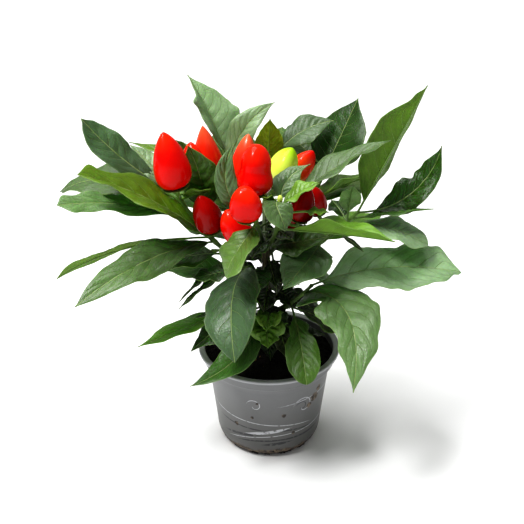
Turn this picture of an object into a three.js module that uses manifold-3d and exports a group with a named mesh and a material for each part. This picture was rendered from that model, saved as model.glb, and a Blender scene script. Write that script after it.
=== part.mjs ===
// A small ornamental chilli pepper plant in a grey grower's pot. Millimetres, +Z up, with the
// origin in the middle of the pot's flat base. The front of the plant faces -Y.
import * as THREE from 'three';
import { mergeVertices } from 'three/addons/utils/BufferGeometryUtils.js';
import Module from 'manifold-3d';

const wasm = await Module();
wasm.setup();

// Clearance between pieces that touch.
const GAP = 0.3;

// How deep a piece is sunk into what it grows from.
const ROOT_SINK = 0.5;

// Pot: a tapered thin-walled cup with a round heel, a shelf under its collar and a flat lip.
const POT_HEIGHT = 88;
const POT_WALL = 1.5;
const POT_SIDES = 32;
const LIP_RADIUS = 60;
const LIP_DEPTH = 3;
const LIP_ROUND = 1;
const COLLAR_RADIUS = 56;
const COLLAR_DEPTH = 12;
const SHELF_RISE = 2;
const SHOULDER_RADIUS = 52;
const HEEL_RADIUS = 45;
const HEEL_HEIGHT = 16;
const FOOT_RADIUS = 34;
const DRAIN_HOLES = 6;
const DRAIN_RADIUS = 4;
const DRAIN_CIRCLE = 24;

// Compost: fills the pot to a little below the lip and rises round the trunk.
const SOIL_EDGE = 79;
const SOIL_CROWN = 83;
const SOIL_SIDES = POT_SIDES / 2;

// Trunk: its path from the compost to the fork, and its girth.
const TRUNK_PATH = [[0, 0, 64], [-1, 0, 112], [-2, 0, 150], [-3, 0, 182]];
const TRUNK_BASE_RADIUS = 4;
const TRUNK_TOP_RADIUS = 2.8;

// Shoots, leaves and fruit.
const SHOOT_BASE_RADIUS = 2;
const SHOOT_TIP_RADIUS = 1.3;
const PETIOLE_RADIUS = 0.9;
const RIB_THICKNESS = 1.5;
const EDGE_THICKNESS = 0.7;
const BLADE_STEPS = 7;
const EDGE_WAVE = 1.6;
const WAVE_DEGREES = 800;
const WAVE_LAG = 50;
const GOLDEN_ANGLE = 137.5;
const LEAVES_AT_MOST = 10;
const PEDICEL_RADIUS = 1.2;
const PEDICEL_BEND = 0.3;
const CALYX_DEPTH = 2;
const CALYX_SPREAD = 0.22;
const FRUIT_SIDES = 8;
const BUD_RADIUS = 2.2;
const BUD_LENGTH = 8;

const POT_GREY = 0x74777b;
const COMPOST_BROWN = 0x1d1612;
const BARK = 0x5f5a37;
const LEAF_GREEN = 0x3f7a35;
const RED = 0xd6240f;
const DARK_RED = 0x9c1410;
const LIME = 0xb6cc2c;

// One leaf: where it leaves its shoot (0 base, 1 tip), the heading of its stalk in degrees from +X
// towards +Y, its rise above level, and its blade's length and width. The stalk is the bare length
// before the blade. Over the leaf's length the rise falls by droop and the heading turns by sweep.
// Roll lifts the left half of the blade, fold lifts both halves from the rib, and tip draws the
// blade out to a longer point.
function leaf(at, heading, rise, length, width, shape = {}) {
  const usual = { stalk: 12, droop: 20, sweep: 0, roll: 0, fold: 10, tip: 1.3 };
  return { at, heading, rise, length, width, ...usual, ...shape };
}

// One fruit: where its stalk leaves the shoot, the middle of its base, and the heading, rise,
// length and width of the fruit, which stands upright as ornamental peppers do.
function fruit(at, base, heading, rise, length, width, colour = RED) {
  return { at, base, heading, rise, length, width, colour };
}

// One flower bud, given in the same way.
function bud(at, base, heading, rise) {
  return { at, base, heading, rise };
}

// Each shoot is a stem that starts in the trunk, bends once and ends in a growing tip.
const shoots = {
  left: {
    stem: [[-2, 0, 150], [-50, -10, 184], [-72, 0, 224]],
    leaves: [
      leaf(1, 175, 27, 80, 28, { stalk: 14, droop: -25, roll: -35, fold: 12, tip: 0.7 }),
      leaf(0.92, 175, 35, 97, 46, { stalk: 14, droop: 70, sweep: -15, roll: -15 }),
      leaf(0.75, 180, 20, 100, 26, { stalk: 10, sweep: 40, droop: 12, roll: -20, fold: 12, tip: 0.8 }),
      leaf(0.4, 187, 47, 126, 42, { stalk: 10, droop: 24, sweep: 24, roll: -12, fold: 20, tip: 0.9 }),
      leaf(0.5, 220, 12, 124, 33, { stalk: 6, droop: 37, roll: -20, tip: 1.1 }),
      leaf(0.34, 185, 10, 52, 32, { droop: 40, roll: -10 }),
      leaf(0.55, 195, 7, 122, 20, { stalk: 14, droop: 46, sweep: -30, roll: 35, tip: 0.8 }),
      leaf(0.6, 50, 85, 60, 34, { stalk: 20, droop: -35, roll: 40 }),
      leaf(0.95, 315, 30, 34, 20, { stalk: 6, droop: 5, roll: -20 }),
    ],
    fruit: [
      fruit(0.98, [-70, -29, 241], 195, 80, 44, 28),
      fruit(1, [-58, 2, 233], 160, 85, 33, 20),
      fruit(0.75, [-44, -24, 204], 220, 70, 33, 22, DARK_RED),
    ],
  },
  back_left: {
    stem: [[-2, 2, 172], [-24, 20, 196], [-32, 40, 224]],
    leaves: [
      leaf(0.9, 170, 30, 83, 22, { stalk: 10 }),
      leaf(1, 160, 30, 52, 24, { stalk: 10, droop: 10 }),
      leaf(0.95, 140, 75, 68, 48, { stalk: 26, droop: 30, fold: 38, tip: 1.6 }),
      leaf(1, 0, 92, 66, 24, { stalk: 10, droop: 64, roll: 60, fold: 16 }),
      leaf(0.5, 150, 10, 85, 40),
      leaf(0.8, 105, 30, 70, 36),
    ],
    fruit: [
      fruit(1, [-47, 24, 228], 230, 80, 47, 23),
      fruit(0.7, [-32, 58, 198], 120, 60, 36, 25),
    ],
  },
  front: {
    stem: [[-3, 0, 178], [-8, -16, 200], [-14, -22, 222]],
    leaves: [
      leaf(0.8, 25, 155, 58, 18, { stalk: 14, droop: 100, roll: 60, fold: 14 }),
      leaf(0.75, 288, 35, 44, 36, { stalk: 34, droop: 110, sweep: -92, roll: 10, fold: 12, tip: 0.9 }),
    ],
    fruit: [
      fruit(0.9, [-22, -12, 232], 40, 80, 44, 20),
      fruit(1, [-12, -36, 238], 50, 85, 38, 27),
      fruit(0.9, [-17, -58, 229], 260, 72, 27, 23),
      fruit(0.7, [-21, -38, 202], 190, 65, 28, 22),
    ],
  },
  back: {
    stem: [[-3, 0, 180], [-6, 30, 208], [0, 48, 230]],
    leaves: [
      leaf(0.9, 275, 72, 46, 24, { stalk: 8, droop: 0 }),
      leaf(1, 10, 64, 48, 30, { stalk: 20, droop: 60, roll: 30 }),
      leaf(0.5, 110, 45, 70, 38, { droop: 30 }),
      leaf(1, 80, 20, 60, 34),
      leaf(0.75, 130, 35, 70, 36),
      leaf(0.4, 250, -80, 38, 30, { stalk: 8, droop: 0 }),
    ],
    fruit: [
      fruit(0.85, [4, -2, 233], 10, 65, 32, 22, LIME),
      fruit(0.6, [2, 56, 202], 90, 55, 34, 24),
    ],
  },
  back_right: {
    stem: [[-2, 0, 172], [34, 28, 202], [46, 44, 228]],
    leaves: [
      leaf(0.8, 38, 58, 68, 60, { stalk: 10, droop: 0 }),
      leaf(0.6, 10, 25, 52, 30, { droop: 10, roll: -30, fold: 12 }),
      leaf(0.5, 40, 15, 85, 38),
      leaf(0.8, 95, 30, 66, 34),
      leaf(1, 130, 30, 50, 30),
      leaf(0.05, 285, -45, 30, 16, { stalk: 8, droop: 35 }),
    ],
    fruit: [
      fruit(0.85, [18, 25, 228], 345, 55, 30, 20),
      fruit(0.6, [28, 58, 198], 60, 60, 34, 24),
    ],
  },
  right_front: {
    stem: [[-3, 0, 176], [6, -28, 200], [8, -42, 232]],
    leaves: [
      leaf(0.9, 20, 40, 82, 34, { stalk: 18, droop: 26, roll: -5, fold: 22 }),
      leaf(0.58, 335, 9, 80, 38, { stalk: 14, droop: 9, roll: -15, fold: 38 }),
      leaf(0.12, 340, 18, 46, 34, { stalk: 6, droop: 0, roll: 20 }),
      leaf(1, 235, 50, 36, 25, { stalk: 4, sweep: 90, droop: 130, roll: -10, tip: 0.8 }),
      leaf(1, 100, 45, 38, 20, { stalk: 5, sweep: -110, droop: 20, roll: 20, tip: 1.6 }),
      leaf(1, 350, 42, 32, 22, { stalk: 2, droop: 15, roll: 15, fold: 20 }),
      leaf(0.85, 350, 17, 17, 14, { stalk: 20 }),
      leaf(1, 215, 40, 14, 10, { stalk: 6, roll: 25 }),
    ],
    fruit: [
      fruit(0.8, [22, -26, 213], 0, 75, 28, 19, DARK_RED),
      fruit(0.3, [9, -6, 199], 0, 45, 23, 17, DARK_RED),
    ],
    buds: [bud(1, [7, -50, 236], 270, 75)],
  },
  right: {
    stem: [[-2, 0, 155], [44, -4, 182], [70, 2, 208]],
    leaves: [
      leaf(1, 30, 57, 102, 50, { stalk: 10, droop: 0, roll: -75, fold: 30, tip: 1.6 }),
      leaf(1, 355, 2, 76, 30, { stalk: 14, droop: -80, sweep: 10, roll: 40, fold: 14 }),
      leaf(0.9, 345, 16, 56, 20, { stalk: 10, droop: 5, roll: -10 }),
      leaf(0.8, 345, 13, 58, 46, { droop: 42, tip: 0.7 }),
      leaf(0.55, 250, -4, 60, 42, { stalk: 8, droop: 16, sweep: -20 }),
      leaf(0.85, 275, 80, 32, 18, { stalk: 10, droop: 30 }),
      leaf(0.7, 330, -15, 22, 8, { stalk: 6 }),
      leaf(0.85, 115, 30, 22, 18, { stalk: 6 }),
    ],
    fruit: [fruit(0.75, [39, 5, 206], 220, 75, 25, 17)],
  },
  low_left: {
    stem: [[-1, 0, 112], [-11, -12, 136], [-16, -14, 168]],
    leaves: [
      leaf(1, 245, 12, 92, 50, { stalk: 6, sweep: 40, droop: 75, roll: 30, tip: 1 }),
      leaf(0.9, 285, 55, 25, 24, { stalk: 6, droop: 120, tip: 0.8 }),
      leaf(0.3, 262, -32, 84, 27, { stalk: 14, droop: -25, sweep: -60, roll: -15, fold: 15 }),
      leaf(0.5, 190, -23, 74, 24, { stalk: 32, droop: -20, sweep: 25, fold: 18 }),
      leaf(0.3, 208, -6, 48, 28, { stalk: 22, droop: 30 }),
      leaf(1, 195, -6, 32, 22, { stalk: 14, droop: 0 }),
      leaf(0.2, 275, 10, 34, 36, { stalk: 10, droop: 50 }),
    ],
    fruit: [],
  },
  low_right: {
    stem: [[-1, 0, 118], [18, -12, 130], [34, -16, 152]],
    leaves: [
      leaf(1, 355, 27, 110, 52, { stalk: 10, droop: 38, roll: 15, tip: 0.8 }),
      leaf(0.78, 322, 30, 120, 48, { stalk: 2, droop: 95, sweep: -70, roll: 10 }),
      leaf(0.5, 280, -5, 60, 27, { stalk: 17, droop: 50, roll: 10, tip: 0.6 }),
      leaf(0.4, 345, -8, 46, 26, { stalk: 14, droop: 30 }),
      leaf(0.08, 264, 30, 38, 24, { stalk: 10, droop: 40 }),
      leaf(0.1, 290, -25, 34, 16),
    ],
    fruit: [],
  },
  low_back_left: {
    stem: [[-1, 0, 128], [-16, 16, 142], [-30, 30, 166]],
    leaves: [
      leaf(0.9, 215, -20, 49, 12, { stalk: 16, droop: 15, roll: 25 }),
      leaf(0.75, 215, -15, 52, 14, { stalk: 16, droop: 15, roll: 20 }),
      leaf(1, 205, -5, 37, 16, { droop: 10, roll: 20 }),
      leaf(0.5, 170, 10, 75, 40),
      leaf(1, 120, 5, 80, 42),
      leaf(0.7, 95, -5, 60, 32),
    ],
    fruit: [],
  },
  low_back_right: {
    stem: [[-1, 0, 122], [18, 18, 138], [34, 32, 164]],
    leaves: [
      leaf(0.3, 0, -20, 46, 30, { droop: 40 }),
      leaf(1, 45, 10, 90, 42),
      leaf(0.7, 85, 0, 75, 38),
      leaf(0.6, 25, -20, 70, 36),
      leaf(0.35, 345, -25, 34, 32, { stalk: 4, droop: 20 }),
    ],
    fruit: [],
  },
};

const point = ([x, y, z]) => new THREE.Vector3(x, y, z);
const radians = THREE.MathUtils.degToRad;

function direction(heading, rise) {
  const level = Math.cos(radians(rise));
  return new THREE.Vector3(
    level * Math.cos(radians(heading)),
    level * Math.sin(radians(heading)),
    Math.sin(radians(rise)),
  );
}

// A closed three.js geometry as a solid that can be joined and cut, and back again.
function toSolid(geometry) {
  const bare = geometry.clone();
  bare.deleteAttribute('normal');
  bare.deleteAttribute('uv');
  const merged = mergeVertices(bare, 1e-4);
  const vertProperties = new Float32Array(merged.attributes.position.array);
  const triVerts = new Uint32Array(merged.index.array);
  return new wasm.Manifold(new wasm.Mesh({ numProp: 3, vertProperties, triVerts }));
}

function toGeometry(solid) {
  const { vertProperties, triVerts } = solid.getMesh();
  const geometry = new THREE.BufferGeometry();
  geometry.setAttribute('position', new THREE.BufferAttribute(vertProperties, 3));
  geometry.setIndex(new THREE.BufferAttribute(triVerts, 1));
  return geometry;
}

const joined = (solids) => solids.reduce((all, solid) => all.add(solid));

// A closed skin over rings of points, each ring counter-clockwise seen from the end. From column
// turn on, the quads are split the other way, so that two faces of a thin blade match.
function loft(rings, turn = Infinity) {
  const sides = rings[0].length;
  const last = (rings.length - 1) * sides;
  const faces = [];
  for (let row = 0; row < rings.length - 1; row += 1) {
    for (let column = 0; column < sides; column += 1) {
      const a = row * sides + column;
      const b = row * sides + (column + 1) % sides;
      const [c, d] = [b + sides, a + sides];
      faces.push(...(column < turn ? [a, b, c, a, c, d] : [a, b, d, b, c, d]));
    }
  }
  for (let column = 1; column < sides - 1; column += 1) {
    faces.push(0, column + 1, column, last, last + column, last + column + 1);
  }
  const geometry = new THREE.BufferGeometry().setFromPoints(rings.flat());
  geometry.setIndex(faces);
  return toSolid(geometry);
}

// A round stem along a curve, tapering from one radius to the other.
function stem(curve, startRadius, endRadius, sides = 6, steps = 6) {
  const frames = curve.computeFrenetFrames(steps);
  const rings = [];
  for (let step = 0; step <= steps; step += 1) {
    const centre = curve.getPointAt(step / steps);
    const radius = THREE.MathUtils.lerp(startRadius, endRadius, step / steps);
    const ring = [];
    for (let side = 0; side < sides; side += 1) {
      const angle = (side / sides) * 2 * Math.PI;
      ring.push(centre.clone()
        .addScaledVector(frames.normals[step], radius * Math.cos(angle))
        .addScaledVector(frames.binormals[step], radius * Math.sin(angle)));
    }
    rings.push(ring);
  }
  return loft(rings);
}

// Half the width of a leaf at a share u of its blade. The greater the tip, the longer it is drawn out.
function bladeHalf(u, tip) {
  const widest = 1 / (1 + tip);
  return (u / widest) * ((1 - u) / (1 - widest)) ** tip / 2;
}

// The point at a share of a leaf's length, with the directions across the blade and out of it.
function leafFrame(base, form, share) {
  const total = form.stalk + form.length;
  const pieces = 24;
  const centre = base.clone();
  for (let piece = 0; piece < pieces; piece += 1) {
    const s = share * (piece + 0.5) / pieces;
    const along = direction(form.heading + form.sweep * s, form.rise - form.droop * s);
    centre.addScaledVector(along, total * share / pieces);
  }
  const along = direction(form.heading + form.sweep * share, form.rise - form.droop * share);
  const level = direction(form.heading + form.sweep * share + 90, 0);
  const out = along.clone().cross(level);
  const roll = radians(form.roll);
  const across = level.clone().multiplyScalar(Math.cos(roll)).addScaledVector(out, Math.sin(roll));
  return { centre, across, out: along.clone().cross(across) };
}

// A leaf as one thin solid: the stalk runs on as the rib, and the two halves rise from it with
// waved edges. The phase tells one leaf's waves from another's.
function leafSolid(base, form, phase) {
  const total = form.stalk + form.length;
  const bladeStart = form.stalk / total;
  const shares = [0, bladeStart * 0.9];
  for (let step = 1; step <= BLADE_STEPS; step += 1) {
    shares.push(bladeStart + (1 - bladeStart) * (step / BLADE_STEPS));
  }
  const rings = shares.map((share) => {
    const { centre, across, out } = leafFrame(base, form, share);
    const u = Math.max(0, (share - bladeStart) / (1 - bladeStart));
    const outline = bladeHalf(u, form.tip);
    const half = Math.max(form.width * outline, PETIOLE_RADIUS * (1 - u * 0.5));
    const spread = half * Math.cos(radians(form.fold));
    const lift = half * Math.sin(radians(form.fold));
    const rib = u > 0 ? THREE.MathUtils.lerp(RIB_THICKNESS, EDGE_THICKNESS, u) : 2 * PETIOLE_RADIUS;
    const edge = u > 0 ? EDGE_THICKNESS : PETIOLE_RADIUS;
    const corner = (side, height, thickness) => {
      const turn = radians(phase + side * WAVE_LAG + u * WAVE_DEGREES);
      const wave = 2 * EDGE_WAVE * outline * Math.sin(turn);
      const rise = side === 0 ? 0 : height + wave;
      return centre.clone().addScaledVector(across, side * spread)
        .addScaledVector(out, rise + thickness / 2);
    };
    return [
      corner(1, lift, -edge), corner(1, lift, edge), corner(0, 0, rib),
      corner(-1, lift, edge), corner(-1, lift, -edge), corner(0, 0, -rib),
    ];
  });
  return loft(rings, 4);
}

// A turned body standing on a point, its axis along the given direction.
function turned(profile, sides, foot, axis) {
  const geometry = new THREE.LatheGeometry(profile.map(([r, z]) => new THREE.Vector2(r, z)), sides);
  geometry.applyQuaternion(new THREE.Quaternion().setFromUnitVectors(new THREE.Vector3(0, 1, 0), axis));
  geometry.translate(foot.x, foot.y, foot.z);
  return toSolid(geometry);
}

// A blocky cone with round shoulders and a blunt tip.
function fruitSolid(form) {
  const axis = direction(form.heading, form.rise);
  const shape = [
    [0, 0], [0.5, 0], [0.83, 0.06], [0.97, 0.17], [1, 0.32],
    [0.93, 0.52], [0.76, 0.72], [0.48, 0.89], [0.22, 0.97], [0, 1],
  ];
  const profile = shape.map(([r, z]) => [r * form.width / 2, z * form.length]);
  return turned(profile, FRUIT_SIDES, point(form.base), axis);
}

// A thin stalk from the shoot to the foot of what it bears, which it meets along the axis.
function bearer(start, foot, axis, radius) {
  const bend = foot.clone().addScaledVector(axis, -start.distanceTo(foot) * PEDICEL_BEND);
  const end = foot.clone().addScaledVector(axis, ROOT_SINK);
  return stem(new THREE.QuadraticBezierCurve3(start, bend, end), radius, radius, 5, 3);
}

// The stalk of a fruit, which swells into the cup that the fruit stands in.
function fruitStalk(start, form) {
  const axis = direction(form.heading, form.rise);
  const foot = point(form.base).addScaledVector(axis, -GAP - CALYX_DEPTH);
  const cup = [
    [0, 0], [PEDICEL_RADIUS * 1.25, 0], [form.width * CALYX_SPREAD, CALYX_DEPTH], [0, CALYX_DEPTH],
  ];
  return bearer(start, foot, axis, PEDICEL_RADIUS).add(turned(cup, 6, foot, axis));
}

// A closed flower bud grown on its own thin stalk.
function budSolid(start, form) {
  const axis = direction(form.heading, form.rise);
  const foot = point(form.base);
  const shape = [[0, 0], [0.6, 0], [1, 0.5], [0.6, 0.85], [0, 1]];
  const profile = shape.map(([r, z]) => [r * BUD_RADIUS, z * BUD_LENGTH]);
  return bearer(start, foot, axis, PETIOLE_RADIUS).add(turned(profile, 6, foot, axis));
}

function shootCurve({ stem: [start, bend, end] }) {
  return new THREE.QuadraticBezierCurve3(point(start), point(bend), point(end));
}

// A shoot with its leaves and fruit stalks grown together, cut back to what it grows from.
function shootSolid(shoot, order, seat) {
  const curve = shootCurve(shoot);
  const parts = [stem(curve, SHOOT_BASE_RADIUS, SHOOT_TIP_RADIUS)];
  shoot.leaves.forEach((form, index) => {
    const phase = GOLDEN_ANGLE * (index + LEAVES_AT_MOST * order);
    parts.push(leafSolid(curve.getPoint(form.at), form, phase));
  });
  shoot.fruit.forEach((form) => parts.push(fruitStalk(curve.getPoint(form.at), form)));
  shoot.buds?.forEach((form) => parts.push(budSolid(curve.getPoint(form.at), form)));
  return joined(parts).subtract(seat);
}

function trunkSolid(extra = 0) {
  const path = TRUNK_PATH.map(point);
  path.at(-1).z += extra;
  const curve = new THREE.CatmullRomCurve3(path);
  return stem(curve, TRUNK_BASE_RADIUS + extra, TRUNK_TOP_RADIUS + extra, 8, 10);
}

// Points up the pot's wall from the edge of its base to the given height, set in by a distance.
// Set in, the shelf under the collar is also raised, which keeps the wall even there.
function wallProfile(inset, top) {
  const heel = [0, 30, 60, 90].map(radians).map((angle) => [
    FOOT_RADIUS + (HEEL_RADIUS - FOOT_RADIUS - inset) * Math.sin(angle),
    HEEL_HEIGHT - (HEEL_HEIGHT - inset) * Math.cos(angle),
  ]);
  const shelf = POT_HEIGHT - COLLAR_DEPTH + inset * 0.65;
  return [
    ...heel,
    [SHOULDER_RADIUS - inset, shelf - SHELF_RISE / 2],
    [COLLAR_RADIUS - inset, shelf + SHELF_RISE / 2],
    [COLLAR_RADIUS - inset, top],
  ];
}

const UP = new THREE.Vector3(0, 0, 1);
const ORIGIN = new THREE.Vector3();

// The pot, with the profile run up its outside, over the lip and back down inside.
function potSolid() {
  const lipFoot = POT_HEIGHT - LIP_DEPTH;
  const lip = [
    [LIP_RADIUS - LIP_ROUND, lipFoot], [LIP_RADIUS, lipFoot + LIP_ROUND],
    [LIP_RADIUS, POT_HEIGHT - LIP_ROUND], [LIP_RADIUS - LIP_ROUND, POT_HEIGHT],
    [COLLAR_RADIUS, POT_HEIGHT],
  ];
  const outside = wallProfile(0, lipFoot);
  const inside = wallProfile(POT_WALL, POT_HEIGHT - LIP_ROUND).reverse();
  const shell = turned([[0, 0], ...outside, ...lip, ...inside, [0, POT_WALL]], POT_SIDES, ORIGIN, UP);
  const [under, over] = [-1, POT_WALL + 1];
  const cutter = [[0, under], [DRAIN_RADIUS, under], [DRAIN_RADIUS, over], [0, over]];
  const holes = [];
  for (let hole = 0; hole < DRAIN_HOLES; hole += 1) {
    const place = direction((hole / DRAIN_HOLES) * 360, 0).multiplyScalar(DRAIN_CIRCLE);
    holes.push(turned(cutter, 12, place, UP));
  }
  return shell.subtract(joined(holes));
}

// The compost lies a clearance inside the pot, with a low mound and a plain hole for the trunk.
function compostSolid(trunk) {
  const inset = POT_WALL + GAP;
  const mound = [0.75, 0.5, 0.25, 0].map((share) => [
    share * (COLLAR_RADIUS - inset),
    THREE.MathUtils.lerp(SOIL_CROWN, SOIL_EDGE, share ** 2),
  ]);
  const profile = [[0, inset], ...wallProfile(inset, SOIL_EDGE), ...mound];
  return turned(profile, SOIL_SIDES, ORIGIN, UP).subtract(trunk);
}

function part(name, solid, color, roughness) {
  const material = new THREE.MeshStandardMaterial({ color, roughness, metalness: 0 });
  const mesh = new THREE.Mesh(toGeometry(solid), material);
  mesh.name = name;
  return mesh;
}

const plant = new THREE.Group();
const trunkRoom = trunkSolid(GAP);
plant.add(part('pot', potSolid(), POT_GREY, 0.4));
plant.add(part('compost', compostSolid(trunkRoom), COMPOST_BROWN, 0.95));
plant.add(part('trunk', trunkSolid(), BARK, 0.8));

// Each later shoot also seats on the stems before it.
let seat = trunkRoom;
Object.entries(shoots).forEach(([name, shoot], order) => {
  plant.add(part(`shoot_${name}`, shootSolid(shoot, order, seat), LEAF_GREEN, 0.55));
  seat = seat.add(stem(shootCurve(shoot), SHOOT_BASE_RADIUS + GAP, SHOOT_TIP_RADIUS + GAP));
  shoot.fruit.forEach((form, index) => {
    plant.add(part(`pepper_${name}_${index + 1}`, fruitSolid(form), form.colour, 0.3));
  });
});

export default plant;
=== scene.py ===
"""A small ornamental chilli pepper plant in a grey grower's pot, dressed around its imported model.

Sizes are in millimetres until a piece becomes a mesh. Up is +Z and the front of the plant faces -Y.
"""
import itertools
import math
import random

import bpy
from mathutils import Matrix, Vector, noise


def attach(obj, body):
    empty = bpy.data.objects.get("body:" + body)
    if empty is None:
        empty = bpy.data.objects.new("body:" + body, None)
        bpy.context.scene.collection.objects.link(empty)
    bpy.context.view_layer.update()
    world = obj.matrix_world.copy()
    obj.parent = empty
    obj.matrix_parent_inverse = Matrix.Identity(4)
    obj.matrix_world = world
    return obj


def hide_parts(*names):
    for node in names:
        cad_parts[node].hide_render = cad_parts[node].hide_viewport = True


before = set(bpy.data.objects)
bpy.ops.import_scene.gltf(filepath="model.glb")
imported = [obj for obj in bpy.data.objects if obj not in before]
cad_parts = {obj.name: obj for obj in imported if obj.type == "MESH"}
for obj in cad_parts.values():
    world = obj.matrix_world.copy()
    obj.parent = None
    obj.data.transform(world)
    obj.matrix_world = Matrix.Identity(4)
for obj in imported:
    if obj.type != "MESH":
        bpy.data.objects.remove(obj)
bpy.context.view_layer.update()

MM = 0.001
UP = Vector((0, 0, 1))

# Pot, the same driving sizes as its solid.
POT_HEIGHT = 88
POT_WALL = 1.5
LIP_RADIUS = 60
LIP_DEPTH = 3
COLLAR_RADIUS = 56
COLLAR_DEPTH = 12
SHELF_RISE = 2
SHOULDER_RADIUS = 52
HEEL_RADIUS = 45
HEEL_HEIGHT = 16
FOOT_RADIUS = 34
DRAIN_HOLES = 6
DRAIN_RADIUS = 4
DRAIN_CIRCLE = 24
# Rings of points up the heel and up the side.
HEEL_STEPS = 14
SIDE_STEPS = 12
# Play between pieces that touch.
GAP = 0.3

# Compost and trunk.
SOIL_EDGE = 79
SOIL_CROWN = 83
TRUNK_FOOT = Vector((0, 0, 64))
TRUNK_TOP = Vector((-3, 0, 182))
TRUNK_BASE_RADIUS = 4
TRUNK_TOP_RADIUS = 2.8
TRUNK_FLARE = 2.2
LEAF_SCAR = 0.5
COMPOST_CRUMBS = 900
HEEL_CRUMBS = 1500

# Shoots, leaves and fruit.
SHOOT_BASE_RADIUS = 2
SHOOT_TIP_RADIUS = 1.3
PETIOLE_RADIUS = 0.9
RIB_TIP_RADIUS = 0.25
BLADE_THICKNESS = 0.4
EDGE_WAVE = 1.6
EDGE_CURL = 0.12
WAVE_DEGREES = 800
WAVE_LAG = 50
GOLDEN_ANGLE = 137.5
LEAVES_AT_MOST = 10
INNER_LEAVES = 34
PEDICEL_RADIUS = 1.2
PEDICEL_BEND = 0.3
CALYX_DEPTH = 2
BUD_RADIUS = 2.2
BUD_LENGTH = 8

# Relief of a blade, over its widest part: cushions between its veins, fine roughness, slow roll.
CUSHION = 2.2
ROUGHNESS = 0.9
ROLLING = 3.4

# Side veins. Slant and curve are how far one climbs the blade on its way to the margin, evenly
# and by the cube of that way.
VEIN_PAIRS = 8
VEIN_SLANT = 0.17
VEIN_CURVE = 0.16

RED, PAINTED_SHEEN_RED, DARK, LIME, TURNING = "red", "painted_sheen_red", "dark", "lime", "turning"

# Nicks that give a leaf a shape of its own.
BLUNT = [(1, 0.93, -1.0, 0.06), (-1, 0.93, -1.0, 0.06)]
BROAD = BLUNT + [(1, 0.7, -0.3, 0.2), (-1, 0.7, -0.3, 0.2)]
OVAL = BLUNT + [(1, 0.8, -0.7, 0.12), (-1, 0.8, -0.7, 0.12)]
TOOTHED = [(1, 0.35, 0.25, 0.05), (-1, 0.5, 0.3, 0.05), (1, 0.68, 0.3, 0.05),
           (-1, 0.8, 0.35, 0.05)]
POINTED = [(1, 0.99, 0.6, 0.05), (-1, 0.99, 0.6, 0.05)]

# Colours of the upper skin of a blade, 0 to 255.
TONES = {
    # Painted shade: near black, for blades deep in the plant's shadow.
    "painted_shade_black": (16, 28, 8),
    "deep": (36, 60, 14),
    "ivy": (30, 60, 0),
    "green": (62, 96, 36),
    "slate": (66, 90, 58),
    "moss": (76, 100, 62),
    "fern": (82, 110, 46),
    "sage": (90, 118, 76),
    # Painted sheen: a pale grey-green that stands in for the sheen of light on up-facing blades.
    "painted_sheen_sage": (130, 156, 116),
    "fresh": (104, 144, 48),
    "olive": (76, 106, 12),
    "lemon": (156, 172, 10),
}


def leaf(at, heading, rise, length, width, tone="green", **shape):
    """A leaf: where it leaves its shoot, its heading, rise, length and width, as in the solid.

    Each nick takes a share off one edge, or adds one where its depth is below zero: side, place,
    depth and spread. Foot shade is painted shade that darkens the foot of the blade.
    """
    form = dict(at=at, heading=heading, rise=rise, length=length, width=width, tone=tone,
                stalk=12, droop=20, sweep=0, roll=0, fold=10, tip=1.3, wavy=1.0, crinkle=1.0,
                nicks=(), dusk=0.25)
    return {**form, **shape}


def fruit(at, base, heading, rise, length, width, colour=RED, **shape):
    """A pepper: where its stalk starts, the middle of its base, its direction and its size.

    Point and blunt shape the tip, lobes is the depth of its furrows and waist how far it draws
    in at the middle.
    """
    form = dict(at=at, base=base, heading=heading, rise=rise, length=length, width=width,
                colour=colour, point=2.0, blunt=0.7, lobes=0.03, waist=0.0)
    return {**form, **shape}


def bud(at, base, heading, rise):
    return dict(at=at, base=base, heading=heading, rise=rise)


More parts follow.
